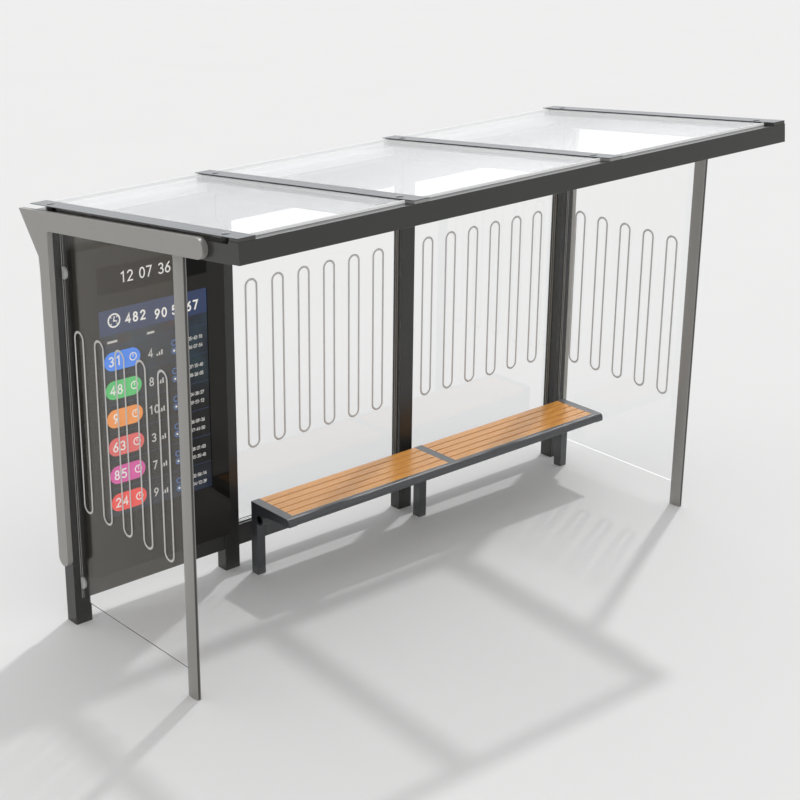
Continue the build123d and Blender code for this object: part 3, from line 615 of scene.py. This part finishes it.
# ------------------------------------------------------------------ glazing beads on the bottom rails
for nm in ("middle", "right"):
    lo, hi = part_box("back_glass_" + nm)
    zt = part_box("bottom_rail_" + nm)[1].z
    for side, ya, yb in (("front", lo.y - 0.0065, lo.y - 0.0004), ("back", hi.y + 0.0004, hi.y + 0.0065)):
        bm = bmesh.new()
        add_box(bm, lo.x + 0.001, hi.x - 0.001, ya, yb, zt + 0.0002, zt + 0.0062)
        finish("glazing_bead_%s_%s" % (nm, side), bm, M["bead"], bevel=0.0012, segs=2)

# ------------------------------------------------------------------ upright beads where the glass meets the posts
for nm in ("middle", "right"):
    lo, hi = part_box("back_glass_" + nm)
    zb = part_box("bottom_rail_" + nm)[1].z
    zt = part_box("top_rail_" + nm)[0].z
    bm = bmesh.new()
    for xa, xb in ((lo.x + 0.0004, lo.x + 0.0070), (hi.x - 0.0070, hi.x - 0.0004)):
        for ya, yb in ((lo.y - 0.0075, lo.y - 0.0004), (hi.y + 0.0004, hi.y + 0.0075)):
            add_box(bm, xa, xb, ya, yb, zb + 0.0070, zt - 0.0010)
    finish("glazing_bead_upright_" + nm, bm, M["bead_dark"], bevel=0.0022, segs=3)

# ------------------------------------------------------------------ bench: sleeve in the end holes
for nm in ("left", "right"):
    lo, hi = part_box("bench_end_" + nm)
    yc, zc = Y0 - 0.219, 0.347
    bm = bmesh.new()
    n = 40
    prof = [(0.0233, 0.0015), (0.0215, 0.0015), (0.0205, 0.004), (0.0205, 0.027), (0.0, 0.027)]
    for xo, sgn in ((lo.x, 1), (hi.x, -1)):
        rings = [[bm.verts.new((xo + sgn * h, yc + r * math.cos(2 * math.pi * q / n), zc + r * math.sin(2 * math.pi * q / n))) for q in range(n)]
                 for (r, h) in prof[:-1]]
        for a, b2 in zip(rings, rings[1:]):
            for q in range(n):
                p = (q + 1) % n
                bm.faces.new((a[q], a[p], b2[p], b2[q]))
        bm.faces.new(rings[-1])
    finish("bench_hole_sleeve_" + nm, bm, M["rubber"], smooth=False)


# ------------------------------------------------------------------ numerals drawn as strokes
def arc(cx, cy, rx, ry, a0, a1, n=14):
    return [(cx + rx * math.cos(math.radians(a0 + (a1 - a0) * k / n)), cy + ry * math.sin(math.radians(a0 + (a1 - a0) * k / n))) for k in range(n + 1)]


def oval(cx, cy, rx, ry, n=26):
    return [(cx + rx * math.cos(2 * math.pi * k / n), cy + ry * math.sin(2 * math.pi * k / n)) for k in range(n)]


DIGITS = {
    "0": [(oval(0.29, 0.5, 0.24, 0.45), True)],
    "1": [([(0.12, 0.80), (0.33, 0.95), (0.33, 0.05)], False)],
    "2": [(arc(0.29, 0.70, 0.23, 0.25, 165, -30) + [(0.07, 0.05), (0.54, 0.05)], False)],
    "3": [(arc(0.28, 0.73, 0.21, 0.22, 150, -90, 12), False), (arc(0.28, 0.28, 0.24, 0.23, 90, -150, 14), False)],
    "4": [([(0.43, 0.05), (0.43, 0.95), (0.05, 0.30), (0.56, 0.30)], False)],
    "5": [([(0.51, 0.95), (0.14, 0.95), (0.10, 0.55)] + arc(0.28, 0.32, 0.25, 0.27, 125, -145, 16), False)],
    "6": [(oval(0.29, 0.31, 0.23, 0.26), True), ([(0.46, 0.95), (0.22, 0.68), (0.065, 0.36)], False)],
    "7": [([(0.05, 0.95), (0.53, 0.95), (0.20, 0.05)], False)],
    "8": [(oval(0.29, 0.735, 0.19, 0.215), True), (oval(0.29, 0.28, 0.235, 0.23), True)],
    "9": [(oval(0.29, 0.69, 0.23, 0.26), True), ([(0.515, 0.64), (0.36, 0.32), (0.13, 0.05)], False)],
    ":": [([(0.29, 0.68), (0.29, 0.62)], False), ([(0.29, 0.30), (0.29, 0.24)], False)],
}


def add_stroke(bm, pts, w, closed, place, h0, h1):
    n = len(pts)
    left, right = [], []
    for k in range(n):
        p = Vector(pts[k])
        a = Vector(pts[k - 1]) if (k > 0 or closed) else None
        c = Vector(pts[(k + 1) % n]) if (k < n - 1 or closed) else None
        d1 = (p - a).normalized() if a is not None else None
        d2 = (c - p).normalized() if c is not None else None
        if d1 is None:
            d1 = d2
        if d2 is None:
            d2 = d1
        n1, n2 = Vector((-d1.y, d1.x)), Vector((-d2.y, d2.x))
        m = (n1 + n2)
        m = m.normalized() if m.length > 1e-6 else n1
        k2 = min(1.0 / max(0.45, m.dot(n1)), 2.0) * w / 2
        end = Vector((0, 0))
        if not closed and k == 0:
            end = -d2 * w * 0.35
        if not closed and k == n - 1:
            end = d1 * w * 0.35
        left.append(p + m * k2 + end)
        right.append(p - m * k2 + end)
    L0 = [bm.verts.new(place(q.x, q.y, h0)) for q in left]
    R0 = [bm.verts.new(place(q.x, q.y, h0)) for q in right]
    L1 = [bm.verts.new(place(q.x, q.y, h1)) for q in left]
    R1 = [bm.verts.new(place(q.x, q.y, h1)) for q in right]
    rng = range(n) if closed else range(n - 1)
    for k in rng:
        m = (k + 1) % n
        bm.faces.new((L1[k], L1[m], R1[m], R1[k]))
        bm.faces.new((L0[k], R0[k], R0[m], L0[m]))
        bm.faces.new((L0[k], L0[m], L1[m], L1[k]))
        bm.faces.new((R0[k], R1[k], R1[m], R0[m]))
    if not closed:
        bm.faces.new((L0[0], L1[0], R1[0], R0[0]))
        bm.faces.new((L0[-1], R0[-1], R1[-1], L1[-1]))


def add_number(bm, text, x, z, h, w, adv, place, h0, h1, space=0.6):
    u = x
    for ch in text:
        if ch == " ":
            u += adv * space
            continue
        for k, (pts, closed) in enumerate(DIGITS[ch]):
            lift = k * (h1 - h0) * 0.06        # crossing strokes don't share a surface
            add_stroke(bm, [(u + p[0] * h, z + p[1] * h) for p in pts], w, closed, place, h0, h1 + lift)
        u += adv
    return u


def add_pill(bm, x0, x1, zc, half, place, h0, h1, n=16):
    out = []
    for k in range(n + 1):
        a = math.pi / 2 + math.pi * k / n
        out.append((x0 + half + half * math.cos(a), zc + half * math.sin(a)))
    for k in range(n + 1):
        a = -math.pi / 2 + math.pi * k / n
        out.append((x1 - half + half * math.cos(a), zc + half * math.sin(a)))
    add_prism(bm, out, place, h0, h1)


# ------------------------------------------------------------------ what the case shows: plain numbers, dials and bars
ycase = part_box("info_case")[0].y
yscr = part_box("info_screen")[0].y


def at_case(u, v, h):
    return (u, ycase - h, v)


def at_screen(u, v, h):
    return (u, yscr - h, v)


bm = bmesh.new()
add_box(bm, -1.631, -0.969, 1.788, 1.931, 0.0, 0.0012, at_case)
finish("header_panel", bm, M["header"], bevel=0.0005, segs=1)
bm = bmesh.new()
add_number(bm, "12 07 36 5", -1.4930, 1.8355, 0.058, 0.0072, 0.0415, at_case, 0.0013, 0.0019, 0.75)
finish("header_numerals", bm, M["white_print"])

bm = bmesh.new()
add_box(bm, -1.6295, -0.9705, 1.572, 1.7065, 0.0, 0.0006, at_screen)
finish("display_band", bm, M["band"])
bm = bmesh.new()
cx, cz = -1.539, 1.645
add_stroke(bm, circle(cx, cz, 0.034, 44), 0.0085, True, at_screen, 0.0007, 0.0012)
for k in range(4):
    a = math.pi / 2 * k + math.pi / 4
    add_stroke(bm, [(cx + 0.023 * math.cos(a), cz + 0.023 * math.sin(a)), (cx + 0.027 * math.cos(a), cz + 0.027 * math.sin(a))], 0.005, False, at_screen, 0.0007, 0.0012)
add_stroke(bm, [(cx - 0.002, cz - 0.004), (cx + 0.002, cz + 0.020)], 0.006, False, at_screen, 0.0007, 0.00125)
add_stroke(bm, [(cx - 0.003, cz), (cx + 0.016, cz - 0.006)], 0.006, False, at_screen, 0.0007, 0.0013)
finish("display_dial", bm, M["white_print"])
bm = bmesh.new()
add_number(bm, "482", -1.4700, 1.6150, 0.050, 0.0095, 0.0450, at_screen, 0.0007, 0.0012)
add_number(bm, "90 5167", -1.2920, 1.6010, 0.050, 0.0095, 0.0430, at_screen, 0.0007, 0.0012, 0.45)
finish("display_band_numerals", bm, M["white_print"])

ROW0, ROW_STEP = 1.4290, 0.1563
NUMS = ["31", "48", "9", "63", "85", "24"]
DUE = ["4", "8", "10", "3", "7", "9"]
TIMES = [("05:42:18", "16:07:54"), ("07:15:40", "18:26:05"), ("04:38:27", "19:51:12"), ("06:09:36", "17:44:50"),
         ("08:21:03", "15:35:48"), ("02:56:14", "14:12:39")]
bars = bmesh.new()
times = bmesh.new()
nums = bmesh.new()
due = bmesh.new()
lines = bmesh.new()
rings = bmesh.new()
dots = bmesh.new()
for i, (nm, c) in enumerate(PILLS):
    zc = ROW0 - ROW_STEP * i
    bm = bmesh.new()
    add_pill(bm, -1.6105, -1.3915, zc, 0.0505, at_screen, 0.0006, 0.0014)
    finish("row_pill_" + nm, bm, M["pill_" + nm], bevel=0.0003, segs=1)
    # number at the left, a small dial at the right of the pill
    add_number(nums, NUMS[i], -1.583 + (0.012 if len(NUMS[i]) == 1 else 0.0), zc - 0.026, 0.052, 0.0075, 0.044, at_screen, 0.0015, 0.0020)
    add_stroke(nums, circle(-1.436, zc + 0.002, 0.0195, 28), 0.0058, True, at_screen, 0.0015, 0.0020)
    add_stroke(nums, [(-1.436, zc + 0.002), (-1.436, zc + 0.013)], 0.0045, False, at_screen, 0.0015, 0.00205)
    add_number(due, DUE[i], -1.343 if len(DUE[i]) == 1 else -1.352, zc - 0.030, 0.047, 0.0070, 0.034, at_screen, 0.0006, 0.0011)
    for k in range(3):
        xb = -1.292 + 0.0145 * k
        add_box(bars, xb, xb + 0.0085, zc - 0.029, zc - 0.029 + 0.011 + 0.009 * k, 0.0006, 0.0010, at_screen)
    add_stroke(rings, circle(-1.1815, zc + 0.019, 0.0145, 28), 0.0045, True, at_screen, 0.0006, 0.0011)
    add_stroke(rings, circle(-1.1815, zc - 0.025, 0.0145, 28), 0.0045, True, at_screen, 0.0006, 0.0011)
    add_prism(dots, circle(-1.1815, zc - 0.025, 0.0065, 20), at_screen, 0.0006, 0.0011)
    add_number(times, TIMES[i][0], -1.0960, zc + 0.0085, 0.0190, 0.0036, 0.0112, at_screen, 0.0006, 0.0010)
    add_number(times, TIMES[i][1], -1.0960, zc - 0.0390, 0.0190, 0.0036, 0.0112, at_screen, 0.0006, 0.0010)
    add_box(lines, -1.627, -0.973, zc + 0.0768, zc + 0.0796, 0.0006, 0.0009, at_screen)
add_box(bars, -1.585, -1.525, 1.528, 1.540, 0.0006, 0.0010, at_screen)
add_box(bars, -1.345, -1.300, 1.528, 1.540, 0.0006, 0.0010, at_screen)
finish("row_numerals", nums, M["white_print"])
finish("row_minutes", due, M["soft_print"])
finish("row_bars", bars, M["soft_print"])
finish("row_rings", rings, M["dot_blue"])
finish("row_dots", dots, M["white_print"])
finish("row_times", times, M["soft_print"])
finish("row_lines", lines, M["line_blue"])


# ------------------------------------------------------------------ floor, lights, camera
def floor():
    me = bpy.data.meshes.new("floor")
    s = 90.0
    me.from_pydata([(-s, -s, 0), (s, -s, 0), (s, s, 0), (-s, s, 0)], [], [(0, 1, 2, 3)])
    ob = bpy.data.objects.new("floor", me)
    scene.collection.objects.link(ob)
    m, nt, b, v, out = new_mat("floor_pale")
    n1 = noise(nt, v, 0.8, 3.0)
    col = ramp(nt, n1, [(0.3, (0.797, 0.796, 0.795)), (0.7, (0.806, 0.805, 0.804))])
    nt.links.new(col, b.inputs["Base Color"])
    b.inputs["Roughness"].default_value = 0.9
    b.inputs["Specular IOR Level"].default_value = 0.1
    me.materials.append(m)
    return ob


floor()

# studio sky: even all round, with a broad bright bank low behind the right shoulder of the shelter
W_BASE = 0.755
world = bpy.data.worlds.new("studio")
scene.world = world
world.use_nodes = True
wn = world.node_tree
wn.nodes.clear()
wo = wn.nodes.new("ShaderNodeOutputWorld")
wb = wn.nodes.new("ShaderNodeBackground")
tc = wn.nodes.new("ShaderNodeTexCoord")
d = sep(wn, tc.outputs["Generated"])
heading = maths(wn, "ADD", maths(wn, "MULTIPLY", d[0], 0.669), maths(wn, "MULTIPLY", d[1], 0.743))


def smooth(nt, fac, a, b, lo, hi):
    n = nt.nodes.new("ShaderNodeMapRange")
    n.interpolation_type = "SMOOTHSTEP"
    n.inputs["From Min"].default_value = a
    n.inputs["From Max"].default_value = b
    n.inputs["To Min"].default_value = lo
    n.inputs["To Max"].default_value = hi
    nt.links.new(fac, n.inputs["Value"])
    return n.outputs["Result"]


rise = smooth(wn, d[2], 0.042, 0.092, 0.0, 1.0)
bank = maths(wn, "MULTIPLY", smooth(wn, heading, 0.30, 0.97, 0.0, 1.0), smooth(wn, d[2], 0.50, 0.88, 1.0, 0.0))
bank = maths(wn, "MULTIPLY", bank, maths(wn, "MULTIPLY_ADD", rise, 0.31, 0.34))
core = maths(wn, "ADD", maths(wn, "MULTIPLY", d[0], 0.719), maths(wn, "MULTIPLY", d[1], 0.695))
core = maths(wn, "POWER", remap(wn, core, 0.0, 1.0, 0.983, 0.9975), 1.7)
core = maths(wn, "MULTIPLY", core, maths(wn, "MULTIPLY", rise, smooth(wn, d[2], 0.15, 0.30, 0.27, 0.0)))
wb.inputs["Strength"].default_value = 1.0
level = maths(wn, "ADD", maths(wn, "ADD", bank, core), W_BASE)
tint = mix_col(wn, bank, (1.0, 0.998, 0.994), (0.968, 0.990, 1.015))
n = wn.nodes.new("ShaderNodeVectorMath")
n.operation = "SCALE"
wn.links.new(tint, n.inputs[0])
wn.links.new(level, n.inputs["Scale"])
wn.links.new(n.outputs[0], wb.inputs["Color"])
wn.links.new(wb.outputs[0], wo.inputs[0])

sun = bpy.data.lights.new("key", "SUN")
sun.energy = 0.98
sun.angle = math.radians(2.6)
so = bpy.data.objects.new("key", sun)
scene.collection.objects.link(so)
so.rotation_euler = Vector((0.72, 0.355, 1.0)).to_track_quat("Z", "Y").to_euler()

cam = bpy.data.cameras.new("cam")
co = bpy.data.objects.new("cam", cam)
scene.collection.objects.link(co)
co.location = (-6.0726, -7.3498 + Y0, 4.4535)
co.rotation_euler = (math.radians(90 - 21.82), 0.0, math.radians(-39.83))
cam.sensor_width = 36.0
cam.lens = 1766.88 * 36.0 / 800.0
cam.shift_x = (400.0 - 345.83) / 800.0
cam.shift_y = (428.0 - 400.0) / 800.0
cam.clip_end = 400.0
scene.camera = co

scene.view_settings.view_transform = "Standard"
scene.view_settings.look = "None"
scene.view_settings.exposure = 0.0
scene.view_settings.gamma = 1.0
